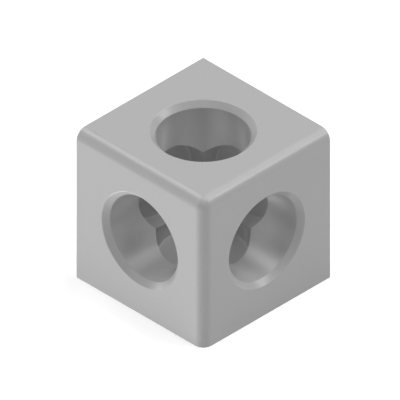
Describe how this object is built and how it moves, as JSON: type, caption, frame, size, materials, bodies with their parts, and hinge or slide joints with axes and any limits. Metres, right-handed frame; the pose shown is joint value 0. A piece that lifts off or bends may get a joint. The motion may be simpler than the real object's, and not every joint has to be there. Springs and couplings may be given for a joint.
{
  "type": "three way corner connector",
  "caption": "Cube that joins the ends of framing profiles at a right-angled corner, with drafted access bores that cross inside and a screw seat behind each mating face.",
  "frame": {"origin": "centre of the cube, where the axes of the access bores cross", "axes": "+X, -Y and +Z out of the open access bores; the profiles leave along -X, +Y and -Z"},
  "size_m": [0.03, 0.03, 0.03],
  "materials": {
    "cast_body": "die casting with a satin powder coat in light neutral grey"
  },
  "bodies": {
    "root": {"corner_cube": "cast_body"}
  },
  "joints": []
}
